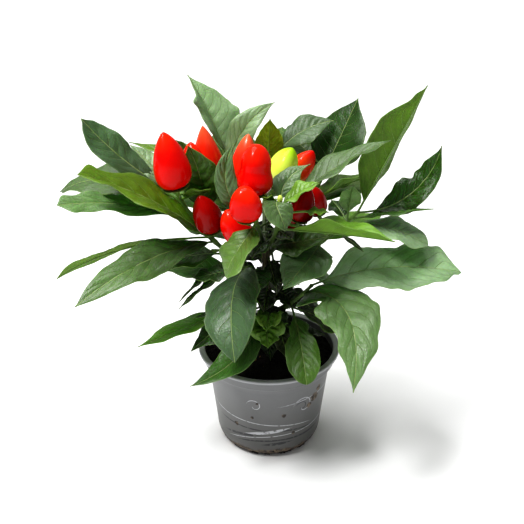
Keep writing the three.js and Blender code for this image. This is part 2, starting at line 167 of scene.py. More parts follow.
SHOOTS = {
    "left": {
        "stem": [(-2, 0, 150), (-50, -10, 184), (-72, 0, 224)],
        "leaves": [
            leaf(1, 175, 27, 80, 28, "slate", stalk=14, droop=-25, roll=-35, fold=12,
                 tip=0.7, nicks=POINTED),
            leaf(0.92, 175, 35, 97, 46, "slate", stalk=14, droop=70, sweep=-15, roll=-15,
                 nicks=BLUNT),
            leaf(0.75, 180, 20, 100, 26, "sage", stalk=10, sweep=40, droop=12, roll=-20, fold=12,
                 tip=0.8, nicks=BLUNT),
            leaf(0.4, 187, 47, 126, 42, "olive", stalk=10, droop=24, sweep=24, roll=-12, fold=20,
                 tip=0.9, wavy=1.4, crinkle=1.4, nicks=BLUNT + [(1, 0.55, -0.4, 0.25)]),
            leaf(0.5, 220, 12, 124, 33, "moss", stalk=6, droop=37, roll=-20, tip=1.1, wavy=1.8,
                 crinkle=1.6, dusk=0.85),
            leaf(0.34, 185, 10, 52, 32, "deep", droop=40, roll=-10),
            leaf(0.55, 195, 7, 122, 20, "olive", stalk=14, droop=46, sweep=-30, roll=35, tip=0.8),
            leaf(0.6, 50, 85, 60, 34, "green", stalk=20, droop=-35, roll=40, crinkle=2.0),
            leaf(0.95, 315, 30, 34, 20, "fresh", stalk=6, droop=5, roll=-20),
        ],
        "fruit": [
            fruit(0.98, (-70, -29, 241), 195, 80, 44, 28, point=1.7, blunt=0.75, lobes=0.02),
            fruit(1, (-58, 2, 233), 160, 85, 33, 20),
            fruit(0.75, (-44, -24, 204), 220, 70, 33, 22, DARK, point=1.8),
        ],
    },
    "back_left": {
        "stem": [(-2, 2, 172), (-24, 20, 196), (-32, 40, 224)],
        "leaves": [
            leaf(0.9, 170, 30, 83, 22, "olive", stalk=10),
            leaf(1, 160, 30, 52, 24, "sage", stalk=10, droop=10),
            leaf(0.95, 140, 75, 68, 48, "painted_sheen_sage", stalk=26, droop=30, fold=38, tip=1.6,
                 nicks=[(1, 0.6, -0.7, 0.06)]),
            leaf(1, 0, 92, 66, 24, "painted_sheen_sage", stalk=10, droop=64, roll=60, fold=16),
            leaf(0.5, 150, 10, 85, 40),
            leaf(0.8, 105, 30, 70, 36),
        ],
        "fruit": [
            fruit(1, (-47, 24, 228), 230, 80, 47, 23, PAINTED_SHEEN_RED, point=1.5, blunt=0.85),
            fruit(0.7, (-32, 58, 198), 120, 60, 36, 25),
        ],
    },
    "front": {
        "stem": [(-3, 0, 178), (-8, -16, 200), (-14, -22, 222)],
        "leaves": [
            leaf(0.8, 25, 155, 58, 18, "sage", stalk=14, droop=100, roll=60, fold=14, crinkle=1.6),
            leaf(0.75, 288, 35, 44, 36, "fern", stalk=34, droop=110, sweep=-92, roll=10,
                 fold=12, tip=0.9, nicks=OVAL),
        ],
        "fruit": [
            fruit(0.9, (-22, -12, 232), 40, 80, 44, 20, PAINTED_SHEEN_RED),
            fruit(1, (-12, -36, 238), 50, 85, 38, 27, point=1.6, blunt=0.42, lobes=0.05,
                  waist=0.1),
            fruit(0.9, (-17, -58, 229), 260, 72, 27, 23, point=2.2, blunt=0.55, lobes=0.05),
            fruit(0.7, (-21, -38, 202), 190, 65, 28, 22),
        ],
    },
    "back": {
        "stem": [(-3, 0, 180), (-6, 30, 208), (0, 48, 230)],
        "leaves": [
            leaf(0.9, 275, 72, 46, 24, "lemon", stalk=8, droop=0),
            leaf(1, 10, 64, 48, 30, "moss", stalk=20, droop=60, roll=30),
            leaf(0.5, 110, 45, 70, 38, droop=30),
            leaf(1, 80, 20, 60, 34),
            leaf(0.75, 130, 35, 70, 36),
            leaf(0.4, 250, -80, 38, 30, "painted_shade_black", stalk=8, droop=0),
        ],
        "fruit": [
            fruit(0.85, (4, -2, 233), 10, 65, 32, 22, LIME, point=2.4, lobes=0.06),
            fruit(0.6, (2, 56, 202), 90, 55, 34, 24),
        ],
    },
    "back_right": {
        "stem": [(-2, 0, 172), (34, 28, 202), (46, 44, 228)],
        "leaves": [
            leaf(0.8, 38, 58, 68, 60, "ivy", stalk=10, droop=0, crinkle=0.5),
            leaf(0.6, 10, 25, 52, 30, "fresh", droop=10, roll=-30, fold=12),
            leaf(0.5, 40, 15, 85, 38, "fern"),
            leaf(0.8, 95, 30, 66, 34),
            leaf(1, 130, 30, 50, 30),
            leaf(0.05, 285, -45, 30, 16, "painted_shade_black", stalk=8, droop=35),
        ],
        "fruit": [
            fruit(0.85, (18, 25, 228), 345, 55, 30, 20, TURNING, lobes=0.04),
            fruit(0.6, (28, 58, 198), 60, 60, 34, 24),
        ],
    },
    "right_front": {
        "stem": [(-3, 0, 176), (6, -28, 200), (8, -42, 232)],
        "leaves": [
            leaf(0.9, 20, 40, 82, 34, "moss", stalk=18, droop=26, roll=-5, fold=22),
            leaf(0.58, 335, 9, 80, 38, "fresh", stalk=14, droop=9, roll=-15, fold=38, wavy=1.6),
            leaf(0.12, 340, 18, 46, 34, "green", stalk=6, droop=0, roll=20),
            leaf(1, 235, 50, 36, 25, "moss", stalk=4, sweep=90, droop=130, roll=-10, tip=0.8),
            leaf(1, 100, 45, 38, 20, "sage", stalk=5, sweep=-110, droop=20, roll=20, tip=1.6),
            leaf(1, 350, 42, 32, 22, "fresh", stalk=2, droop=15, roll=15, fold=20),
            leaf(0.85, 350, 17, 17, 14, "fresh", stalk=20),
            leaf(1, 215, 40, 14, 10, "olive", stalk=6, roll=25),
        ],
        "fruit": [
            fruit(0.8, (22, -26, 213), 0, 75, 28, 19, DARK),
            fruit(0.3, (9, -6, 199), 0, 45, 23, 17, DARK),
        ],
        "buds": [bud(1, (7, -50, 236), 270, 75)],
    },
    "right": {
        "stem": [(-2, 0, 155), (44, -4, 182), (70, 2, 208)],
        "leaves": [
            leaf(1, 30, 57, 102, 50, "olive", stalk=10, droop=0, roll=-75, fold=30, tip=1.6,
                 wavy=0.6, nicks=BROAD),
            leaf(1, 355, 2, 76, 30, "ivy", stalk=14, droop=-80, sweep=10, roll=40, fold=14, wavy=1.6,
                 crinkle=2.0, nicks=[(1, 0.52, 0.3, 0.05)]),
            leaf(0.9, 345, 16, 56, 20, "green", stalk=10, droop=5, roll=-10),
            leaf(0.8, 345, 13, 58, 46, "painted_sheen_sage", droop=42, tip=0.7),
            leaf(0.55, 250, -4, 60, 42, "sage", stalk=8, droop=16, sweep=-20),
            leaf(0.85, 275, 80, 32, 18, "painted_sheen_sage", stalk=10, droop=30),
            leaf(0.7, 330, -15, 22, 8, "deep", stalk=6, wavy=0.2, crinkle=0.2),
            leaf(0.85, 115, 30, 22, 18, "deep", stalk=6),
        ],
        "fruit": [fruit(0.75, (39, 5, 206), 220, 75, 25, 17, DARK)],
    },
    "low_left": {
        "stem": [(-1, 0, 112), (-11, -12, 136), (-16, -14, 168)],
        "leaves": [
            leaf(1, 245, 12, 92, 50, "slate", stalk=6, sweep=40, droop=75, roll=30, tip=1, dusk=0.7),
            leaf(0.9, 285, 55, 25, 24, "ivy", stalk=6, droop=120, tip=0.8),
            leaf(0.3, 262, -32, 84, 27, "green", stalk=14, droop=-25, sweep=-60, roll=-15, fold=15),
            leaf(0.5, 190, -23, 74, 24, "fresh", stalk=32, droop=-20, sweep=25, fold=18),
            leaf(0.3, 208, -6, 48, 28, "deep", stalk=22, droop=30),
            leaf(1, 195, -6, 32, 22, "deep", stalk=14, droop=0, nicks=OVAL),
            leaf(0.2, 275, 10, 34, 36, "fresh", stalk=10, droop=50, wavy=2.6, crinkle=2.4,
                 nicks=TOOTHED),
        ],
        "fruit": [],
    },
    "low_right": {
        "stem": [(-1, 0, 118), (18, -12, 130), (34, -16, 152)],
        "leaves": [
            leaf(1, 355, 27, 110, 52, "painted_sheen_sage", stalk=10, droop=38, roll=15, tip=0.8, wavy=1.4,
                 crinkle=1.4, nicks=[(1, 0.2, -0.7, 0.12), (-1, 0.2, -0.3, 0.12),
                                     (1, 0.86, -0.6, 0.08), (-1, 0.95, 0.5, 0.03)]),
            leaf(0.78, 322, 30, 120, 48, "sage", stalk=2, droop=95, sweep=-70, roll=10,
                 wavy=1.8, crinkle=1.6,
                 nicks=[(-1, 0.12, -1.2, 0.09), (-1, 0.28, 0.55, 0.03), (-1, 0.6, 0.3, 0.18)]),
            leaf(0.5, 280, -5, 60, 27, "green", stalk=17, droop=50, roll=10, tip=0.6,
                 nicks=[(1, 0.3, 0.2, 0.07), (-1, 0.3, 0.2, 0.07), (1, 0.15, -0.5, 0.1)]),
            leaf(0.4, 345, -8, 46, 26, "painted_shade_black", stalk=14, droop=30),
            leaf(0.08, 264, 30, 38, 24, "fresh", stalk=10, droop=40, wavy=2.6, crinkle=2.4,
                 nicks=TOOTHED),
            leaf(0.1, 290, -25, 34, 16, "painted_shade_black"),
        ],
        "fruit": [],
    },
    "low_back_left": {
        "stem": [(-1, 0, 128), (-16, 16, 142), (-30, 30, 166)],
        "leaves": [
            leaf(0.9, 215, -20, 49, 12, "deep", stalk=16, droop=15, roll=25),
            leaf(0.75, 215, -15, 52, 14, "deep", stalk=16, droop=15, roll=20),
            leaf(1, 205, -5, 37, 16, "olive", droop=10, roll=20),
            leaf(0.5, 170, 10, 75, 40),
            leaf(1, 120, 5, 80, 42),
            leaf(0.7, 95, -5, 60, 32),
        ],
        "fruit": [],
    },
    "low_back_right": {
        "stem": [(-1, 0, 122), (18, 18, 138), (34, 32, 164)],
        "leaves": [
            leaf(0.3, 0, -20, 46, 30, "deep", droop=40),
            leaf(1, 45, 10, 90, 42, "fresh"),
            leaf(0.7, 85, 0, 75, 38),
            leaf(0.6, 25, -20, 70, 36),
            leaf(0.35, 345, -25, 34, 32, "painted_shade_black", stalk=4, droop=20),
        ],
        "fruit": [],
    },
}

# Leaves too slight for the solid: where each starts, its form, and where its waves begin.
LOOSE_LEAVES = [
    ((-1, 0, 104), leaf(0, 10, -5, 34, 20, "deep", stalk=18, droop=20, crinkle=1.6), 20),
    ((-11, -12, 136), leaf(0, 200, -5, 30, 14, "slate", stalk=22, droop=5), 75),
    ((-72, 0, 224), leaf(0, 150, 42, 45, 24, "painted_sheen_sage", stalk=10, droop=10, roll=-20), 140),
    ((-31, 34, 219), leaf(0, 184, 46, 48, 10, "deep", stalk=24, droop=15, roll=30), 260),
]


# ---------- Shapes ----------

def rgb(red, green, blue):
    """A colour given as it looks on a screen, 0 to 255."""
    def linear(c):
        c /= 255
        return c / 12.92 if c <= 0.04045 else ((c + 0.055) / 1.055) ** 2.4
    return (linear(red), linear(green), linear(blue), 1.0)


def direction(heading, rise):
    level = math.cos(math.radians(rise))
    turn = math.radians(heading)
    return Vector((level * math.cos(turn), level * math.sin(turn), math.sin(math.radians(rise))))


def mix(a, b, share):
    return a + (b - a) * share


def smooth(low, high, value):
    share = min(1, max(0, (value - low) / (high - low)))
    return share * share * (3 - 2 * share)


def bezier(points, share):
    a, b, c = (Vector(p) for p in points)
    return a * (1 - share) ** 2 + b * 2 * share * (1 - share) + c * share ** 2


def new_mesh(name, points, faces):
    """A mesh of points given in millimetres."""
    mesh = bpy.data.meshes.new(name)
    mesh.from_pydata([tuple(p * MM for p in point) for point in points], [], faces)
    return mesh


def new_object(name, data):
    obj = bpy.data.objects.new(name, data)
    bpy.context.scene.collection.objects.link(obj)
    return obj


class Skin:
    """The points, faces and painted values of one piece, gathered before it becomes a mesh."""

    def __init__(self):
        self.points = []
        self.faces = []
        self.paint = {}
        self.tones = []

    def add(self, points, faces, tone=None, **values):
        """Adds points and faces. Each value is one number for all of them, or a list of one each."""
        first = len(self.points)
        if tone:
            self.tones.extend([tone] * len(points))
        self.points.extend(points)
        self.faces.extend([tuple(first + corner for corner in face) for face in faces])
        for name, value in values.items():
            column = self.paint.setdefault(name, [0.0] * first)
            column.extend([0.0] * (first - len(column)))
            column.extend(value if isinstance(value, list) else [value] * len(points))

    def piece(self, name, material, slot, replaces=()):
        """Makes the mesh object, smooth shaded, and fixes it to the plant."""
        mesh = new_mesh(name, self.points, self.faces)
        for label, column in self.paint.items():
            column.extend([0.0] * (len(self.points) - len(column)))
            mesh.attributes.new(label, "FLOAT", "POINT").data.foreach_set("value", column)
        if self.tones:
            parts = list(itertools.chain.from_iterable(self.tones))
            mesh.attributes.new("tone", "FLOAT_COLOR", "POINT").data.foreach_set("color", parts)
        mesh.shade_smooth()
        mesh.materials.append(material)
        obj = new_object(name, mesh)
        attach(obj, "root")
        if replaces:
            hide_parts(*replaces)
        return obj


def ring_faces(rows, sides):
    """Quads over rows of rings, with both ends closed by a fan face."""
    faces = []
    for row in range(rows - 1):
        for side in range(sides):
            a = row * sides + side
            b = row * sides + (side + 1) % sides
            faces.append((a, b, b + sides, a + sides))
    faces.append(tuple(reversed(range(sides))))
    faces.append(tuple((rows - 1) * sides + side for side in range(sides)))
    return faces


def frames_along(centres):
    """Two directions across the path at each of its points, carried along without twist."""
    normal = None
    frames = []
    for index in range(len(centres)):
        before = centres[max(index - 1, 0)]
        after = centres[min(index + 1, len(centres) - 1)]
        along = (after - before).normalized()
        if normal is None:
            normal = along.orthogonal()
        normal = (normal - along * normal.dot(along)).normalized()
        frames.append((normal, along.cross(normal)))
    return frames


def spokes(normal, other, sides):
    """Directions evenly round a ring that lies across two directions, each with its turn."""
    for side in range(sides):
        turn = side / sides * math.tau
        yield turn, normal * math.cos(turn) + other * math.sin(turn)


def two_across(axis):
    normal = axis.orthogonal().normalized()
    return normal, axis.cross(normal)


def tube(centres, radii, sides=12, bark=0.0, flute=0.0, seed=0.0):
    """A closed round skin along a path. Bark roughens it and flute gives it shallow furrows."""
    points = []
    for (normal, other), centre, radius in zip(frames_along(centres), centres, radii):
        for turn, out in spokes(normal, other, sides):
            grain = noise.noise(Vector((turn * 1.5, centre.z * 0.12, seed)))
            reach = radius * (1 + flute * math.cos(5 * turn)) + bark * grain
            points.append(centre + out * reach)
    return points, ring_faces(len(centres), sides)


def lathe(profile, sides, wobble=None):
    """A turned skin about +Z. Its profile runs from the axis below to the axis above."""
    points = [Vector((0, 0, profile[0][1]))]
    for radius, height in profile[1:-1]:
        for side in range(sides):
            turn = side / sides * math.tau
            point = Vector((radius * math.cos(turn), radius * math.sin(turn), height))
            points.append(point + wobble(point) if wobble else point)
    points.append(Vector((0, 0, profile[-1][1])))
    top = 1 + (len(profile) - 3) * sides
    faces = []
    for side in range(sides):
        beside = (side + 1) % sides
        faces += [(0, 1 + beside, 1 + side), (top + side, top + beside, len(points) - 1)]
        for a in range(1, top, sides):
            faces.append((a + side, a + beside, a + sides + beside, a + sides + side))
    return points, faces


# ---------- Leaves ----------

BLADE_ROWS = 56
# Steps in which a leaf's curved middle line is followed.
LEAF_STEPS = 24
# Columns from the rib to the edge as shares of the half width, closer together at both.
BLADE_COLUMNS = [0, 0.05, 0.14, 0.26, 0.4, 0.54, 0.68, 0.8, 0.9, 0.96, 1]


def blade_half(u, tip):
    """Half of the relative width at a share u of the blade, as in the solid."""
    widest = 1 / (1 + tip)
    return (u / widest) * ((1 - u) / (1 - widest)) ** tip / 2


def nicked(u, side, nicks):
    """How much of the half width the notches (or, below zero, the lobes) of one edge take away."""
    return sum(depth * math.exp(-((u - at) / spread) ** 2)
               for edge, at, depth, spread in nicks if edge == side)


def leaf_frame(base, form, share):
    """The point at a share of a leaf's length, with the directions across it and out of it."""
    def course(s):
        return form["heading"] + form["sweep"] * s, form["rise"] - form["droop"] * s

    step = (form["stalk"] + form["length"]) * share / LEAF_STEPS
    centre = base.copy()
    for count in range(LEAF_STEPS):
        centre += direction(*course(share * (count + 0.5) / LEAF_STEPS)) * step
    heading, rise = course(share)
    along, level = direction(heading, rise), direction(heading + 90, 0)
    roll = math.radians(form["roll"])
    across = level * math.cos(roll) + along.cross(level) * math.sin(roll)
    return centre, across, along.cross(across)


def vein_turn(u, v):
    """Grows by one from each side vein to the next. The veins of the two halves alternate."""
    reach = abs(v)
    climb = u - VEIN_SLANT * reach - VEIN_CURVE * reach ** 3
    return climb * VEIN_PAIRS + (0.5 if v > 0 else 0)


def slab_faces(rows, across):
    """Faces over a sheet of rows of points: its upper skin, its lower skin and its rim."""
    count = (rows + 1) * across
    faces = []
    for first in range(0, rows * across, across):
        last = first + across - 1
        for a in range(first, last):
            faces.append((a, a + across, a + across + 1, a + 1))
            faces.append((count + a, count + a + 1, count + a + across + 1, count + a + across))
        faces.append((first, first + count, first + count + across, first + across))
        faces.append((last + across, last + count + across, last + count, last))
    for a in range(across - 1):
        b = a + rows * across
        faces += [(a, a + 1, a + 1 + count, a + count), (b + count, b + 1 + count, b + 1, b)]
    return faces


def add_leaf(skin, base, form, phase):
    """A leaf of fine mesh: its waved, quilted blade, and its stalk, which runs on as the rib."""
    start = form["stalk"] / (form["stalk"] + form["length"])
    sides = [-v for v in reversed(BLADE_COLUMNS[1:])] + BLADE_COLUMNS
    tone = rgb(*TONES[form["tone"]])
    fold = math.radians(form["fold"])
    seed = Vector((phase, phase * 0.37, 0))
    tops, unders = [], []
    paint = {name: [] for name in ("along", "across", "reach", "dusk")}
    for row in range(BLADE_ROWS + 1):
        u = row / BLADE_ROWS
        centre, across, out = leaf_frame(base, form, start + (1 - start) * u)
        outline = blade_half(u, form["tip"])
        ragged = 1 + 0.08 * noise.noise(seed + Vector((u * 12, 3, 0))) * form["wavy"]
        half = max(form["width"] * outline * ragged, 0.35)
        edges = {side: half * (1 - nicked(u, side, form["nicks"])) for side in (-1, 1)}
        # Painted shade over the foot of the blade, fading out along it.
        dusk = form["dusk"] * (1 - smooth(0.1, 0.75, u))
        for v in sides:
            reach = abs(v)
            side = 1 if v > 0 else -1
            half = edges[side]
            swing = math.radians(phase + side * WAVE_LAG + u * WAVE_DEGREES)
            wave = 2 * EDGE_WAVE * form["wavy"] * outline * math.sin(swing) * reach ** 1.5
            lift = half * math.sin(fold) * reach ** 1.2 - half * EDGE_CURL * reach ** 4
            puff = math.sin(math.pi * vein_turn(u, v)) ** 2
            puff *= smooth(0, 0.2, reach) * (1 - smooth(0.8, 1, reach)) * outline * CUSHION
            roll = noise.noise(seed + Vector((u * form["length"] * 0.055, v * half * 0.09, 7)))
            rough = noise.noise(seed + Vector((u * form["length"] * 0.16, v * half * 0.2, 1)))
            height = wave + lift + form["crinkle"] * (puff + rough * outline * ROUGHNESS)
            height += roll * outline * ROLLING * reach
            point = centre + across * (half * math.cos(fold) * v) + out * height
            tops.append(point + out * (BLADE_THICKNESS / 2))
            unders.append(point - out * (BLADE_THICKNESS / 2))
            for name, value in zip(paint, (u, v, half * reach, dusk)):
                paint[name].append(value)
    count = len(tops)
    values = {name: column * 2 for name, column in paint.items()}
    skin.add(tops + unders, slab_faces(BLADE_ROWS, len(sides)), tone, stalk=0.0,
             under=[0.0] * count + [1.0] * count, chance=(phase * 0.618) % 1, **values)
    add_leaf_stalk(skin, base, form, start, tone)


def add_leaf_stalk(skin, base, form, start, tone):
    """The stalk from the shoot, which runs on under the blade as its rib."""
    shares = [i / 8 * start for i in range(8)] + [mix(start, 1, i / 24) for i in range(25)]
    centres, radii = [], []
    for share in shares:
        centre, _, out = leaf_frame(base, form, share)
        u = max(0, (share - start) / (1 - start))
        radius = mix(PETIOLE_RADIUS, RIB_TIP_RADIUS, u)
        radius *= 1 + 0.5 * (1 - smooth(0, 0.12 * start, share))
        centres.append(centre - out * radius * 0.7 * smooth(0, 0.08, u))
        radii.append(radius)
    skin.add(*tube(centres, radii, 8), tone, stalk=1.0, under=0.0)


# ---------- Stems, fruit and buds ----------

# Steps along the stalk of a pepper or bud.
BEARER_STEPS = 14
# Outlines from foot to tip: radius and height. The calyx's heights are shares of its depth and
# its radii, apart from the two of its foot, shares of its spread. Its teeth stand on three rings.
CALYX = [(1.2, 0), (1.8, 0.1), (0.55, 0.55), (0.85, 0.95), (1, 1.15), (0.97, 1.3), (0.6, 1.05),
         (0.2, 0.95)]
CALYX_FOOT, CALYX_TEETH = (0, 1), (3, 4, 5)
BUD = [(0.3, 0), (0.65, 0.04), (0.85, 0.2), (0.9, 0.4), (0.8, 0.45), (1, 0.6), (0.8, 0.82),
       (0.4, 0.96), (0.05, 1)]
# The share of its height over which a bud shows petals, and of a pepper's length its shoulders.
BUD_CUP = 0.42
SHOULDER = 0.32


def add_shoot_stem(skin, shoot, seed):
    """The shoot's own stem, a little swollen where each leaf and fruit stalk leaves it."""
    joints = [form["at"] for form in shoot["leaves"] + shoot["fruit"]]
    steps, sides = 48, 16
    shares = [step / steps for step in range(steps + 1)]
    radii = []
    for share in shares:
        swell = max(math.exp(-((share - at) / 0.03) ** 2) for at in joints)
        radii.append(mix(SHOOT_BASE_RADIUS, SHOOT_TIP_RADIUS, share) * (1 + 0.3 * swell))
    path = [bezier(shoot["stem"], share) for share in shares]
    skin.add(*tube(path, radii, sides, bark=0.25, seed=seed),
             woody=[1 - share for share in shares for _ in range(sides)])


def bearer_path(start, foot, axis):
    """The bowed line of a stalk from the shoot to the foot of a pepper or bud."""
    bend = foot - axis * ((foot - start).length * PEDICEL_BEND)
    return [bezier((start, bend, foot), step / BEARER_STEPS) for step in range(BEARER_STEPS + 1)]


def add_fruit_stalk(skin, start, form):
    """The pepper's ribbed stalk and the green calyx cup, with five short teeth, at its end."""
    axis = direction(form["heading"], form["rise"])
    foot = Vector(form["base"]) - axis * (GAP + CALYX_DEPTH)
    path = bearer_path(start, foot, axis)
    radii = [PEDICEL_RADIUS * (1 + 0.45 * smooth(0.6, 1, step / BEARER_STEPS))
             for step in range(BEARER_STEPS + 1)]
    skin.add(*tube(path, radii, 20, flute=0.08), woody=0.0)
    spread = form["width"] * 0.36
    sides = 40
    points = []
    for index, (reach, height) in enumerate(CALYX):
        radius = reach if index in CALYX_FOOT else reach * spread
        for turn, out in spokes(*two_across(axis), sides):
            tooth = max(0, math.cos(5 * turn)) ** 3 * 0.35 if index in CALYX_TEETH else 0
            wide = radius * (1 + tooth * 0.35)
            points.append(foot + out * wide + axis * (height * CALYX_DEPTH + tooth * 2.6))
    skin.add(points, ring_faces(len(CALYX), sides), woody=0.0)


def pepper_radius(s, form):
    """The relative radius at a share s of a pepper's length: round shoulders, then a drawn tip."""
    if s < SHOULDER:
        return (1 - (1 - s / SHOULDER) ** 2.6) ** (1 / 2.6)
    return max(0, 1 - ((s - SHOULDER) / (1 - SHOULDER)) ** form["point"]) ** form["blunt"]


def pepper(name, form, seed, materials):
    """One pepper: lobed, and dimpled where its stalk meets it."""
    axis = direction(form["heading"], form["rise"])
    base = Vector(form["base"])
    rows, sides = 56, 48
    points, ripe = [], []
    for row in range(rows + 1):
        s = 0.5 - 0.5 * math.cos(math.pi * row / rows)
        radius = max(pepper_radius(s, form), 0.004) * form["width"] / 2
        radius *= 1 - form["waist"] * math.exp(-((s - 0.5) / 0.13) ** 2)
        dimple = 1.6 * math.exp(-(radius / (0.2 * form["width"])) ** 2) if s < 0.3 else 0
        for turn, out in spokes(*two_across(axis), sides):
            furrow = math.cos(3 * turn + seed) + 0.5 * math.cos(2 * turn + 2.1 * seed)
            bulge = noise.noise(Vector((math.cos(turn), math.sin(turn), s * 2.4 + seed)))
            reach = radius * (1 + form["lobes"] * furrow * (0.5 + s) + 0.06 * bulge)
            points.append(base + out * reach + axis * (s * form["length"] + dimple))
            ripe.append(s)
    skin = Skin()
    skin.add(points, ring_faces(rows + 1, sides), ripe=ripe)
    colour = form["colour"]
    skin.piece(f"fruit_{name}", materials[colour], PEPPER_SKINS[colour][0], [f"pepper_{name}"])


def add_bud(skin, start, form):
    """A closed flower bud: a ribbed cup with the folded petals standing out of it."""
    axis = direction(form["heading"], form["rise"])
    foot = Vector(form["base"])
    path = bearer_path(start, foot, axis)
    skin.add(*tube(path, [PETIOLE_RADIUS * 0.8] * len(path)), woody=0.0)
    sides = 20
    centres = [foot + axis * (z * BUD_LENGTH) for _, z in BUD]
    petals = [1.0 if z > BUD_CUP else 0.0 for _, z in BUD for _ in range(sides)]
    skin.add(*tube(centres, [r * BUD_RADIUS for r, _ in BUD], sides, flute=0.07),
             woody=0.0, petal=petals)


def shoot_pieces(name, shoot, order, materials):
    """All the pieces of one leafy shoot."""
    leaves, stems = Skin(), Skin()
    for index, form in enumerate(shoot["leaves"]):
        phase = GOLDEN_ANGLE * (index + LEAVES_AT_MOST * order)
        add_leaf(leaves, bezier(shoot["stem"], form["at"]), form, phase)
    leaves.piece(f"leaves_{name}", materials["leaf"], "foliage", [f"shoot_{name}"])
    add_shoot_stem(stems, shoot, order)
    for grow, forms in ((add_fruit_stalk, shoot["fruit"]), (add_bud, shoot.get("buds", []))):
        for form in forms:
            grow(stems, bezier(shoot["stem"], form["at"]), form)
    stems.piece(f"stems_{name}", materials["stem"], "foliage")
    for index, form in enumerate(shoot["fruit"], 1):
        pepper(f"{name}_{index}", form, order * 1.7 + index * 2.3, materials)


def inner_leaves(material):
    """The small dark leaves that crowd round the trunk, deep in the plant, a third of them near black
    with painted shade.
    """
    rng = random.Random(11)
    skin = Skin()
    for index in range(INNER_LEAVES):
        start = Vector((-1, 0, mix(104, 200, index / (INNER_LEAVES - 1))))
        form = leaf(0, GOLDEN_ANGLE * index, rng.uniform(-30, 20), rng.uniform(22, 30),
                    rng.uniform(13, 20), "deep" if index % 3 else "painted_shade_black",
                    stalk=rng.uniform(6, 10), crinkle=2.0, droop=rng.uniform(0, 40),
                    roll=rng.uniform(-30, 30))
        add_leaf(skin, start, form, 40 * index)
    skin.piece("leaves_inner", material, "foliage")


def loose_leaves(material):
    """A few more leaves, seen in the gaps between the shoots."""
    skin = Skin()
    for start, form, phase in LOOSE_LEAVES:
        add_leaf(skin, Vector(start), form, phase)
    skin.piece("leaves_loose", material, "foliage")


# ---------- Trunk, compost and pot ----------

def trunk_piece(material):
    """The trunk: flared at the compost, ringed with old leaf scars and roughened by its bark."""
    steps = 110
    centres, radii = [], []
    for step in range(steps + 1):
        share = step / steps
        z = mix(TRUNK_FOOT.z, TRUNK_TOP.z, share)
        x = mix(TRUNK_FOOT.x, TRUNK_TOP.x, smooth(0, 1, share) * 0.5 + share * 0.5)
        flare = TRUNK_FLARE * math.exp(-((z - SOIL_CROWN) / 5) ** 2)
        scar = LEAF_SCAR * max(0, math.sin(z * 0.42)) ** 12
        centres.append(Vector((x, 0, z)))
        radii.append(mix(TRUNK_BASE_RADIUS, TRUNK_TOP_RADIUS, share) + flare + scar)
    skin = Skin()
    skin.add(*tube(centres, radii, 40, bark=0.7, flute=0.03, seed=5))
    skin.piece("trunk_bark", material, "bark", ["trunk"])


def wall_profile(inset, top):
    """Points up the pot's wall, from the edge of its base to a height, set in by a distance."""
    profile = []
    for step in range(HEEL_STEPS + 1):
        angle = step / HEEL_STEPS * math.pi / 2
        profile.append((FOOT_RADIUS + (HEEL_RADIUS - FOOT_RADIUS - inset) * math.sin(angle),
                        HEEL_HEIGHT - (HEEL_HEIGHT - inset) * math.cos(angle)))
    shelf = POT_HEIGHT - COLLAR_DEPTH + inset * 0.65
    low = shelf - SHELF_RISE / 2
    for step in range(1, SIDE_STEPS + 1):
        share = step / SIDE_STEPS
        profile.append((mix(HEEL_RADIUS, SHOULDER_RADIUS, share) - inset,
                        mix(HEEL_HEIGHT, low, share)))
    for share in (0.25, 0.5, 0.75, 1):
        profile.append((mix(SHOULDER_RADIUS, COLLAR_RADIUS - 0.4, smooth(0, 1, share)) - inset,
                        low + SHELF_RISE * share))
    profile.append((COLLAR_RADIUS - inset, shelf + SHELF_RISE))
    profile.append((COLLAR_RADIUS - inset, top))
    return profile


def pot_piece(material):
    """The pot: one thin turned wall with a rounded lip, and drain holes in its base."""
    lip_foot = POT_HEIGHT - LIP_DEPTH
    lip = [(COLLAR_RADIUS + 0.6, lip_foot + 0.1), (LIP_RADIUS - 1.2, lip_foot + 0.1)]
    for step in range(9):
        angle = math.pi * (step / 8 - 0.5)
        lip.append((LIP_RADIUS - 1.1 + 1.1 * math.cos(angle),
                    lip_foot + 1.5 + 1.4 * math.sin(angle)))
    lip += [(LIP_RADIUS - 2.6, POT_HEIGHT - 0.35), (COLLAR_RADIUS, POT_HEIGHT - 0.3)]
    for step in range(5):
        angle = math.pi / 2 * step / 4
        lip.append((COLLAR_RADIUS - POT_WALL + 1.2 - 1.2 * math.sin(angle),
                    POT_HEIGHT - 1.6 + 1.2 * math.cos(angle)))
    outside = wall_profile(0, lip_foot - 0.4)
    inside = list(reversed(wall_profile(POT_WALL, POT_HEIGHT - 2.5)))
    profile = [(0, 0), (12, 0), *outside, *lip, *inside, (12, POT_WALL), (0, POT_WALL)]
    skin = Skin()
    skin.add(*lathe(profile, 144))
    cut_drain_holes(skin.piece("pot_shell", material, "pot", ["pot"]))


def cut_drain_holes(pot):
    """Cuts the round holes through the pot's base."""
    cutters = Skin()
    for hole in range(DRAIN_HOLES):
        centre = direction(hole / DRAIN_HOLES * 360, 0) * DRAIN_CIRCLE
        path = [centre + UP * z for z in (-2, POT_WALL + 2)]
        cutters.add(*tube(path, [DRAIN_RADIUS] * 2, 32))
    tool = new_object("cutters", new_mesh("cutters", cutters.points, cutters.faces))
    cut = pot.modifiers.new("drain", "BOOLEAN")
    cut.operation = "DIFFERENCE"
    cut.solver = "EXACT"
    cut.object = tool
    bpy.context.view_layer.update()
    with bpy.context.temp_override(object=pot, active_object=pot, selected_objects=[pot]):
        bpy.ops.object.modifier_apply(modifier=cut.name)
    bpy.data.objects.remove(tool)


